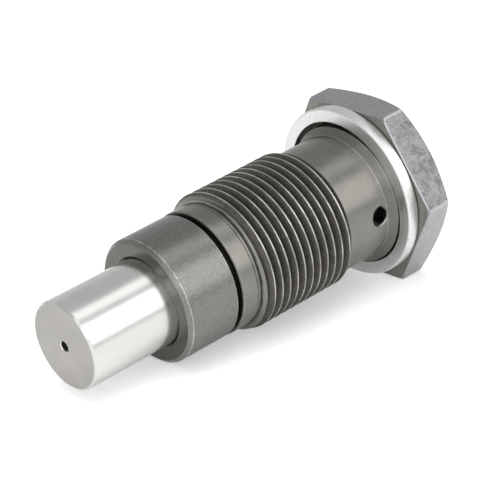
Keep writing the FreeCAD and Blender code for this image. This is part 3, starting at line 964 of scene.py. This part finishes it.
@dataclass
class Housing(Piece):
    """The screw plug: hexagon head, shoulder, neck with its oil hole, thread, front neck and bore."""

    hex_flats: float = 27.0
    head_length: float = 5.4
    rear_face_radius: float = 13.2
    rear_middle_radius: float = 6.0
    front_face_radius: float = 15.0
    bevel_rise: float = math.tan(math.radians(30))
    corner_radius: float = 0.35
    edge_break: float = 0.14
    seat_stitch_radius: float = 12.4
    seat_stitch_width: float = 0.3
    shoulder_radius: float = 11.0
    shoulder_length: float = 2.3
    taper_length: float = 1.0
    neck_radius: float = 10.0
    neck_blend: float = 0.4
    thread_gap: float = 0.3
    thread_lip: float = 0.02
    oil_hole_radius: float = 1.4
    oil_hole_sink: float = 0.25
    oil_hole_station: float = 4.7
    row_near_hole: float = 0.2
    bore_row_near_hole: float = 0.3
    bore_row_end: float = 0.5
    relief_width: float = 0.7
    relief_depth: float = 0.28
    relief_steps: int = 8
    front_neck_radius: float = 9.725
    front_neck_length: float = 3.45
    front_chamfer: float = 0.2
    front_land: float = 1.0
    bore_radius: float = 8.0
    bore_mouth: float = 0.4
    scuffed_flat: tuple[float, float] = (0.0, 60.0)
    thread: HelixThread = field(default_factory=HelixThread)

    def hex_turns(self) -> np.ndarray:
        """Turns round the head, closer together by its corners.

        Returns:
            The turns, in radians.
        """
        steps = [0.0, 0.32, 0.66, 1.2, 2.0, 3.2, 5.0, *range(7, 30, 2), 30.0]
        sextant = [*steps, *[60.0 - step for step in steps[-2:0:-1]]]
        return np.radians([60.0 * number + step for number in range(6) for step in sextant])

    def hex_radius(self, turns: np.ndarray) -> np.ndarray:
        """How far the head's rim is from the axis at each turn.

        Args:
            turns: The turns, in radians, with a corner at zero.

        Returns:
            The radii, with the corners slightly rounded.
        """
        flat = self.hex_flats / 2
        sixth = math.pi / 3
        from_corner = np.abs((turns + sixth / 2) % sixth - sixth / 2)
        centre = (flat - self.corner_radius) / math.cos(sixth / 2)
        under = np.maximum(self.corner_radius ** 2 - (centre * np.sin(from_corner)) ** 2, 0)
        bend = centre * np.cos(from_corner) + np.sqrt(under)
        straight = flat / np.cos(sixth / 2 - from_corner)
        touch = math.atan2(self.corner_radius * 0.5, centre + self.corner_radius * 0.866)
        return np.where(from_corner < touch, bend, straight)

    def head(self, shell: Shell) -> np.ndarray:
        """Adds the hexagon, from the middle of its rear face to the seat under it.

        Args:
            shell: The housing's mesh.

        Returns:
            The ring on the seat face that the shoulder grows from.
        """
        turns = self.hex_turns()
        rim = self.hex_radius(turns)
        rear = -self.head_length
        ease = self.edge_break
        rise = self.bevel_rise
        bevel_end = rear + (rim - self.rear_face_radius) * rise
        front_start = -np.maximum((rim - self.front_face_radius) * rise, ease)
        front_rim = np.minimum(rim - ease, self.front_face_radius)
        degrees = np.degrees(turns)
        on_flat = (degrees >= self.scuffed_flat[0]) & (degrees < self.scuffed_flat[1])
        flats = np.where(on_flat, Tag.SCUFFED, Tag.HEAD)
        rows = [
            (rear, self.rear_face_radius - ease, Tag.HEAD),
            (rear + ease * rise / 2, self.rear_face_radius + ease / 4, Tag.HEAD),
            (bevel_end - ease * rise, rim - ease, Tag.HEAD),
            (bevel_end + ease / 2, rim, flats),
            (front_start - ease / 2, rim, flats),
            (front_start + ease * rise / 2, rim - ease / 3, Tag.HEAD),
            (0.0, front_rim, Tag.HEAD),
            (0.0, front_rim - ease, Tag.HEAD),
            (0.0, self.seat_stitch_radius, Tag.HEAD),
        ]
        previous = shell.ring(rear, self.rear_middle_radius, turns)
        shell.fan(shell.pole(rear), previous)
        for station, radius, tag in rows:
            ring = shell.ring(station, radius, turns)
            shell.join(previous, ring, tag)
            previous = ring
        seat = shell.ring(0.0, self.seat_stitch_radius - self.seat_stitch_width, TURNS)
        shell.zip_rings(previous, turns, seat, TURNS)
        return seat

    def neck(self, shell: Shell, seat: np.ndarray) -> None:
        """Adds the shoulder and the neck, up to the thread.

        Args:
            shell: The housing's mesh.
            seat: The ring on the seat face that the shoulder grows from.
        """
        start = self.thread.start
        taper_end = self.shoulder_length + self.taper_length
        blend_end = taper_end + self.neck_blend
        last = shell.lathe(rounded([
            (0.0, self.seat_stitch_radius - self.seat_stitch_width),
            (0.0, self.shoulder_radius, 0.3),
            (self.shoulder_length, self.shoulder_radius, 0.12),
            (taper_end, self.neck_radius, 0.25),
            (blend_end, self.neck_radius),
        ], 5)[1:], Tag.BARREL, seat)
        neck_end = start - self.thread_gap
        count = round((neck_end - blend_end) / self.row_near_hole)
        rows = [*np.linspace(blend_end, neck_end, count + 1)[1:], start - self.thread_lip]
        outline = [(float(row), self.neck_radius) for row in rows]
        shell.lathe([*outline, (start, self.thread.root_radius())], Tag.BARREL, last)

    def relief(self) -> list[Point]:
        """The groove between the thread and the front neck.

        Returns:
            Its points, from the thread on.
        """
        size = self.relief_width / 2
        reach = math.acos((size - self.relief_depth) / size)
        return arc(self.thread.end + size, self.front_neck_radius - self.relief_depth + size, size,
                   -reach, reach, self.relief_steps)

    def front(self, shell: Shell) -> None:
        """Adds all from the thread's end, over the front neck, to the bottom of the bore.

        Args:
            shell: The housing's mesh.
        """
        end = self.thread.end
        front = end + self.front_neck_length
        outline = [(end, self.thread.root_radius()), (end, self.front_neck_radius), *self.relief()]
        outline += rounded([
            (front - self.front_land, self.front_neck_radius),
            (front - self.front_chamfer, self.front_neck_radius, 0.08),
            (front, self.front_neck_radius - self.front_chamfer, 0.08),
            (front, self.bore_radius + self.bore_mouth),
        ], 3)
        past_hole = self.oil_hole_station + 2 * self.oil_hole_radius
        near_hole = np.arange(past_hole, self.bore_row_end, -self.bore_row_near_hole)
        rows = [front, front - self.front_land, *near_hole, 0.0]
        outline += [(float(row), self.bore_radius) for row in rows]
        last = shell.lathe([*outline, (0.0, self.bore_radius / 2)], Tag.BARREL)
        shell.fan(shell.pole(0.0), last, Tag.BARREL, closing=True)

    def meshes(self, finishes: tuple[Material, ...]) -> list[Mesh]:
        """Makes the turned shell, with its oil hole, and the thread that closes it.

        Args:
            finishes: The housing's materials, by tag.

        Returns:
            The two meshes.
        """
        shell = Shell()
        self.neck(shell, self.head(shell))
        self.front(shell)
        shell.punch(self.oil_hole_station, self.oil_hole_radius, self.oil_hole_sink,
                    self.neck_radius, self.bore_radius, Tag.BARREL)
        thread = self.thread.grown_mesh(finishes[Tag.THREAD])
        tags = np.full(len(thread.polygons), Tag.THREAD, np.int32)
        thread.polygons.foreach_set("material_index", tags)
        return [shell.mesh(), thread]


@dataclass
class TurnedPiece(Piece):
    """A piece whose closed section is turned about the axis."""

    def section(self) -> list[Point]:
        """The section's stations and radii, in order."""
        raise NotImplementedError

    def meshes(self, finishes: tuple[Material, ...]) -> list[Mesh]:
        """Turns the section and closes it.

        Args:
            finishes: The piece's one material.

        Returns:
            The mesh.
        """
        outline = self.section()
        shell = Shell()
        first = shell.lathe(outline[:1])
        shell.join(shell.lathe(outline[1:], start=first), first)
        return [shell.mesh()]


@dataclass
class SealRing(TurnedPiece):
    """The loose soft ring under the hexagon, slightly uneven from use."""

    outer_radius: float = 13.5
    bore_radius: float = 11.35
    thickness: float = 2.0
    edge_radius: float = 0.35
    bore_edge_radius: float = 0.1
    bore_ovality: float = 0.2
    bore_long_turn: float = 137.0
    sideways: float = -0.28
    rim_wave: float = 0.03
    hex_half_flats: float = 13.5

    def matrix(self, bench: Bench) -> Matrix:
        """Stands the ring up on the shoulder, so that it too lies on the floor.

        Args:
            bench: How the tensioner lies.

        Returns:
            The transform to the frame's metres.
        """
        lean = bench.lean()
        reach = (self.outer_radius - self.edge_radius) * math.cos(lean)
        reach += (self.thickness - self.edge_radius) * math.sin(lean) + self.edge_radius
        return bench.matrix(reach / math.cos(lean) - self.hex_half_flats, self.sideways)

    def section(self) -> list[Point]:
        """The ring's section, uneven all round.

        Returns:
            Stations, and for each the radii at all turns: an oval bore and a wavy rim.
        """
        middle = self.thickness / 2
        outline = rounded([
            (middle, self.bore_radius),
            (0.0, self.bore_radius, self.bore_edge_radius),
            (0.0, self.outer_radius, self.edge_radius),
            (self.thickness, self.outer_radius, self.edge_radius),
            (self.thickness, self.bore_radius, self.bore_edge_radius),
            (middle, self.bore_radius),
        ], 6)[:-1]
        oval = self.bore_ovality * np.cos(2 * (TURNS - math.radians(self.bore_long_turn)))
        wave = self.rim_wave * (np.sin(3 * TURNS) + np.sin(7 * TURNS + 1)) / 2
        width = self.outer_radius - self.bore_radius
        shares = [(radius - self.bore_radius) / width for _, radius in outline]
        return [(station, radius + (1 - share) * oval + share * wave)
                for (station, radius), share in zip(outline, shares)]


@dataclass
class Sleeve(TurnedPiece):
    """The collar in front of the thread, with the spigot that sits in the housing's bore."""

    rear: float = 8.5
    collar_rear: float = 32.9
    collar_front: float = 42.2
    collar_radius: float = 9.625
    spigot_radius: float = 8.0
    rear_chamfer: float = 0.3
    front_chamfer: float = 0.6
    relieved_radius: float = 7.25
    rear_land: float = 0.2
    land_radius: float = 6.84
    land_rear: float = 30.0
    mouth_chamfer: float = 0.35

    def section(self) -> list[Point]:
        """The sleeve's section, from the spigot's rear over the collar and back through the bore."""
        return rounded([
            (self.rear, self.relieved_radius + self.rear_land),
            (self.rear, self.spigot_radius, 0.1),
            (self.collar_rear, self.spigot_radius, 0.08),
            (self.collar_rear, self.collar_radius - self.rear_chamfer, 0.06),
            (self.collar_rear + self.rear_chamfer, self.collar_radius, 0.08),
            (self.collar_front - self.front_chamfer, self.collar_radius, 0.14),
            (self.collar_front, self.collar_radius - self.front_chamfer, 0.14),
            (self.collar_front, self.land_radius + self.mouth_chamfer, 0.06),
            (self.collar_front - self.mouth_chamfer, self.land_radius, 0.06),
            (self.land_rear, self.land_radius),
            (self.land_rear, self.relieved_radius),
            (self.rear, self.relieved_radius),
        ], 4)


@dataclass
class Piston(TurnedPiece):
    """The hollow ground plunger with its vented tip and the groove of its stop ring."""

    tip: float = 57.05
    length: float = 36.05
    radius: float = 6.8
    chamfer: float = 0.35
    bore_radius: float = 4.9
    tip_wall: float = 3.0
    vent_radius: float = 0.8
    vent_ease: float = 0.12
    end_land: float = 2.0
    groove_station: float = 29.4
    groove_centre_radius: float = 6.75
    groove_radius: float = 0.47
    groove_steps: int = 10

    def groove(self) -> list[Point]:
        """The stop ring's groove, from the tip's side to the rear."""
        half = math.pi - math.acos((self.groove_centre_radius - self.radius) / self.groove_radius)
        return arc(self.groove_station, self.groove_centre_radius, self.groove_radius, half, -half,
                   self.groove_steps)

    def section(self) -> list[Point]:
        """The plunger's section.

        Returns:
            Its points, from the vent over the tip to the rear and back through the bore.
        """
        rear = self.tip - self.length
        floor = self.tip - self.tip_wall
        front = rounded([
            (self.tip - self.vent_ease, self.vent_radius),
            (self.tip, self.vent_radius + self.vent_ease, 0.03),
            (self.tip, self.radius - self.chamfer, 0.1),
            (self.tip - self.chamfer, self.radius, 0.1),
            (self.tip - self.end_land, self.radius),
        ], 4)
        back = rounded([
            (rear + self.end_land, self.radius),
            (rear + self.chamfer, self.radius, 0.1),
            (rear, self.radius - self.chamfer, 0.1),
            (rear, self.bore_radius, 0.05),
            (floor, self.bore_radius, 0.2),
            (floor, self.vent_radius),
        ], 3)
        return [*front, *self.groove(), *back]


@dataclass
class Spring(Piece, Grown):
    """A helical spring of round wire."""

    start: float
    end: float
    ring_radius: float
    wire_radius: float
    turns: float
    joint: str
    travel: float
    fixed: SpringEnd
    steps_per_turn: int = 40
    wire_sides: int = 14

    def sizes(self) -> dict[str, float]:
        """The tree's named inputs."""
        return {
            "Ring Radius": self.ring_radius,
            "Wire Radius": self.wire_radius,
            "Turns": self.turns,
            "Start": self.start + self.wire_radius,
            "Rise": self.end - self.start - 2 * self.wire_radius,
        }

    def grow(self, graph: Graph, given: dict[str, Term]) -> Term:
        """Sweeps a round wire along a right-hand helix about the axis.

        Args:
            graph: The tree's graph.
            given: The tree's inputs.

        Returns:
            The closed coil.
        """
        helix = graph.term("GeometryNodeCurveSpiral", {
            "Resolution": self.steps_per_turn,
            "Rotations": given["Turns"],
            "Start Radius": given["Ring Radius"],
            "End Radius": given["Ring Radius"],
            "Height": given["Rise"],
            "Reverse": True,
        })
        wire = graph.term("GeometryNodeCurvePrimitiveCircle", {"Resolution": self.wire_sides,
                                                               "Radius": given["Wire Radius"]})
        tube = graph.term("GeometryNodeCurveToMesh", {"Curve": helix, "Profile Curve": wire,
                                                      "Fill Caps": True})
        return graph.term("GeometryNodeTransform", {
            "Geometry": tube,
            "Translation": graph.vector(given["Start"], 0.0, 0.0),
            "Rotation": (0.0, math.pi / 2, 0.0),
        })

    def meshes(self, finishes: tuple[Material, ...]) -> list[Mesh]:
        """Makes the coil."""
        return [self.grown_mesh(finishes[0])]

    def build(self, bench: Bench, *finishes: Material) -> Object:
        """Makes the spring, with a copy of its mesh of its own.

        Args:
            bench: How the tensioner lies.
            *finishes: The wire's material.

        Returns:
            The finished piece.
        """
        item = super().build(bench, *finishes)
        station = self.start if self.fixed is SpringEnd.REAR else self.end
        anchor = self.matrix(bench) @ Vector((station, 0.0, 0.0))
        length = self.end - self.start
        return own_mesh(item, self.joint, axis=tuple(bench.axis), anchor=tuple(anchor),
                         keep=(length - self.travel) / length)


@dataclass
class InnerWorks:
    """The frame's own solids inside the tensioner, which keep their shape and get a finish."""

    finishes: dict[str, Material]

    def dress(self, nodes: dict[str, Object]) -> None:
        """Gives each inner solid its material.

        Args:
            nodes: The frame's nodes.
        """
        for node, finish in self.finishes.items():
            materials = nodes[node].data.materials
            materials.clear()
            materials.append(finish)
            log.info("%s: dressed", node)


@dataclass
class Studio:
    """The pale floor, the soft lamps, the surroundings and the camera."""

    target: tuple[float, float, float] = (21.64, -0.06, -0.3)
    distance: float = 339.0
    azimuth: float = 49.966
    elevation: float = 23.057
    roll: float = 4.51
    lens: float = 174.45
    near_clip: float = 0.01
    floor_size: float = 4.0
    floor_colour: float = 0.93
    floor_glow: float = 0.42
    floor_gloss: float = 0.14
    ambient: float = 0.55
    gloss_base: float = 0.62
    # Long soft boxes over the object, parallel to its axis: from and to, in degrees from the
    # horizon on the camera's side, how much they add to the base, and half their edge's width
    strips: tuple[tuple[float, float, float, float], ...] = (
        (8.0, 57.0, 1.45, 5.0),
        (70.0, 93.0, 0.9, 3.0),
        (-40.0, -3.0, 0.25, 4.0),
        (150.0, 215.0, 0.12, 6.0),
    )

    def camera(self) -> None:
        """Makes the camera at the photograph's viewing angle."""
        turn, rise = math.radians(self.azimuth), math.radians(self.elevation)
        towards = Vector((math.cos(turn) * math.cos(rise), math.sin(turn) * math.cos(rise),
                          math.sin(rise)))
        item = new_object("camera", bpy.data.cameras.new("camera"))
        item.data.lens = self.lens
        item.data.clip_start = self.near_clip
        look = (-towards).to_track_quat("-Z", "Y").to_matrix().to_4x4()
        place = Vector(self.target) * MM + towards * self.distance * MM
        roll = Matrix.Rotation(-math.radians(self.roll), 4, "Z")
        item.matrix_world = Matrix.Translation(place) @ look @ roll
        bpy.context.scene.camera = item

    def floor(self, height: float) -> None:
        """Makes the floor.

        Args:
            height: Where the object's lowest point is, in metres.
        """
        half = self.floor_size / 2
        mesh = bpy.data.meshes.new("floor")
        corners = [(-half, -half, height), (half, -half, height), (half, half, height),
                   (-half, half, height)]
        mesh.from_pydata(corners, [], [(0, 1, 2, 3)])
        item = new_object("floor", mesh)
        material = bpy.data.materials.new("floor_paper")
        graph = Graph.of(material)
        paper = graph.term("ShaderNodeBsdfDiffuse", {"Color": (*[self.floor_colour] * 3, 1.0)})
        level = graph.ray("Camera") * self.floor_glow + graph.ray("Glossy") * self.floor_gloss
        glow = graph.term("ShaderNodeEmission", {"Strength": level})
        both = graph.term("ShaderNodeAddShader", {0: paper, 1: glow})
        graph.node("ShaderNodeOutputMaterial", {"Surface": both})
        mesh.materials.append(material)
        item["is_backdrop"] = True

    def world(self) -> None:
        """Makes the surroundings: even light, and long soft boxes under a grey ceiling in gloss."""
        world = bpy.data.worlds.new("studio")
        bpy.context.scene.world = world
        graph = Graph.of(world)
        _, across, upward = graph.parts(graph.term("ShaderNodeTexCoord", output="Generated"))
        swing = graph.math("DEGREES", graph.math("ARCTAN2", upward, across))
        # One scale from -90 to 270, so that no strip is cut where the angle jumps
        swing = graph.math("WRAP", swing, 270.0, -90.0)
        ceiling: Value = self.gloss_base
        for first, last, level, edge in self.strips:
            rise = graph.ramp(swing, first - edge, first + edge)
            fall = graph.ramp(swing, last - edge, last + edge, 1.0, 0.0)
            ceiling = rise * fall * level + ceiling
        gloss = graph.math("MAXIMUM", graph.ray("Glossy"), graph.ray("Transmission"))
        light = gloss * ceiling + graph.math("SUBTRACT", 1.0, gloss) * self.ambient
        level = graph.math("MAXIMUM", light, graph.ray("Camera"))
        shine = graph.term("ShaderNodeBackground", {"Strength": level})
        graph.node("ShaderNodeOutputWorld", {"Surface": shine})

    def lamp(self, name: str, place: tuple[float, float, float], size: tuple[float, float],
             power: float) -> None:
        """Hangs one soft rectangular lamp that faces the object.

        Args:
            name: The lamp's name.
            place: Where it hangs, in metres.
            size: Its width and height, in metres.
            power: Its power, in watts.
        """
        item = new_object(name, bpy.data.lights.new(name, "AREA"))
        item.data.shape = "RECTANGLE"
        item.data.size, item.data.size_y = size
        item.data.energy = power
        aim = Vector(self.target) * MM - Vector(place)
        item.rotation_euler = aim.to_track_quat("-Z", "Y").to_euler()
        item.location = place
        item.visible_glossy = False

    def build(self, height: float) -> None:
        """Makes the whole studio.

        Args:
            height: The floor's height, in metres.
        """
        self.camera()
        self.floor(height)
        self.world()
        self.lamp("overhead", (0.0, 0.05, 0.7), (0.9, 0.5), 3.0)
        self.lamp("side", (0.55, 0.35, 0.35), (0.4, 0.4), 1.0)
        bpy.context.scene.view_settings.view_transform = "Standard"


def bounds_lists() -> list[list[float]]:
    """The whole object's box as plain lists."""
    return [[float(part) for part in corner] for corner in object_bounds()]


def bench_of(frame: dict) -> Bench:
    """Reads how the axis lies from the frame's mounts."""
    mounts = {mount["name"]: mount for mount in frame["record"]["mounts"]}
    return Bench(Vector(mounts["seal_face"]["axis"]).normalized(), SealRing.thickness)


def main() -> None:
    """Builds the tensioner round the frame, dresses it and sets up its studio."""
    logging.basicConfig(level=logging.INFO, format="%(name)s: %(message)s")
    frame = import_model()
    cad_box = bounds_lists()
    bench = bench_of(frame)

    # The end-face colours below are painted shade: darker tones on faces square to the axis, and on the
    # neck also on its shoulder's cone.
    head = TurnedSteel("head_steel", dark=(0.38, 0.382, 0.392), light=(0.57, 0.572, 0.585),
                       roughness=(0.36, 0.48), mark_pitch=0.5, mark_depth=0.004, blotch_size=0.9,
                       painted_end_shade=(0.29, 0.285, 0.265), worn_beyond=15.36, worn=(0.56, 0.56, 0.57))
    scuffed = ScuffedSteel("head_scuffed", dull=(0.17, 0.168, 0.175), bare=(0.34, 0.337, 0.349),
                           scratch=(0.54, 0.535, 0.55), worn_beyond=15.36)
    neck = TurnedSteel("neck_steel", dark=(0.235, 0.228, 0.207), light=(0.3, 0.291, 0.268),
                       roughness=(0.26, 0.32), mark_pitch=0.16, mark_depth=0.004,
                       painted_end_shade=(0.085, 0.081, 0.071), end_from=0.5,
                       worn_edges=((3.3, 10.0), (32.0, 9.725)), worn=(0.34, 0.33, 0.31))
    thread = ThreadSteel("thread_steel", flank=(0.118, 0.111, 0.097), flank_patch=(0.175, 0.167, 0.15),
                         crest=(0.6, 0.59, 0.56), crest_radius=10.9, worn_depth=0.06,
                         lead_in=(0.27, 0.264, 0.248), lead_in_station=27.95)
    collar = TurnedSteel("collar_steel", dark=(0.185, 0.18, 0.17), light=(0.335, 0.328, 0.313),
                         roughness=(0.26, 0.34), mark_pitch=0.16, mark_depth=0.004, blotch_size=0.3,
                         blotch_contrast=1.1, painted_end_shade=(0.175, 0.171, 0.158), end_roughness=0.25,
                         worn_edges=((41.6, 9.6), (33.2, 9.6))).build(bench)
    ground = TurnedSteel("ground_steel", dark=(0.77, 0.76, 0.74), light=(0.87, 0.865, 0.85),
                         roughness=(0.2, 0.25), mark_pitch=0.13, mark_depth=0.0012, blotch_size=4.0,
                         blotch_contrast=0.7, painted_end_shade=(0.52, 0.505, 0.48)).build(bench)
    valve = TurnedSteel("valve_steel", dark=(0.45, 0.45, 0.46), light=(0.6, 0.6, 0.6),
                        roughness=(0.25, 0.35), mark_pitch=0.2, mark_depth=0.006).build(bench)
    wire = TurnedSteel("spring_steel", dark=(0.22, 0.22, 0.24), light=(0.4, 0.4, 0.42),
                       roughness=(0.25, 0.35), mark_pitch=0.4, mark_depth=0.004).build(bench)
    aluminium = SoftAluminium("seal_aluminium", pale=(0.97, 0.97, 0.965), dull=(0.8, 0.8, 0.79))
    plastic = NaturalPlastic("filler_plastic", colour=(0.72, 0.69, 0.6),
                             cloud=(0.6192, 0.5934, 0.516))

    Housing("housing_plug", "housing", Slot.HOUSING, Body.HOUSING).build(
        bench, *(finish.build(bench) for finish in (head, neck, thread, scuffed)))
    SealRing("seal_ring", "sealing_washer", Slot.WASHER, Body.HOUSING).build(
        bench, aluminium.build(bench))
    Sleeve("collar_sleeve", "guide_sleeve", Slot.SLEEVE, Body.HOUSING).build(bench, collar)
    Piston("piston", "plunger", Slot.GROUND, Body.PLUNGER).build(bench, ground)
    Spring("main_spring", "plunger_spring", Slot.SPRING, Body.HOUSING, start=8.9, end=51.65,
           ring_radius=4.15, wire_radius=0.6, turns=16.0, joint="plunger_slide", travel=12.0,
           fixed=SpringEnd.REAR).build(bench, wire)
    Spring("valve_spring", "ball_spring", Slot.SPRING, Body.HOUSING, start=12.01, end=13.8,
           ring_radius=1.3, wire_radius=0.15, turns=3.0, joint="ball_lift", travel=0.5,
           fixed=SpringEnd.FRONT).build(bench, wire)
    InnerWorks({
        "stop_ring": wire,
        "valve_body": valve,
        "check_ball": ground,
        "ball_cage": valve,
        "filler_insert": plastic.build(bench),
        "vent_disc": valve,
    }).dress(frame["nodes"])
    Studio().build(cad_box[0][2])


if __name__ == "__main__":
    main()
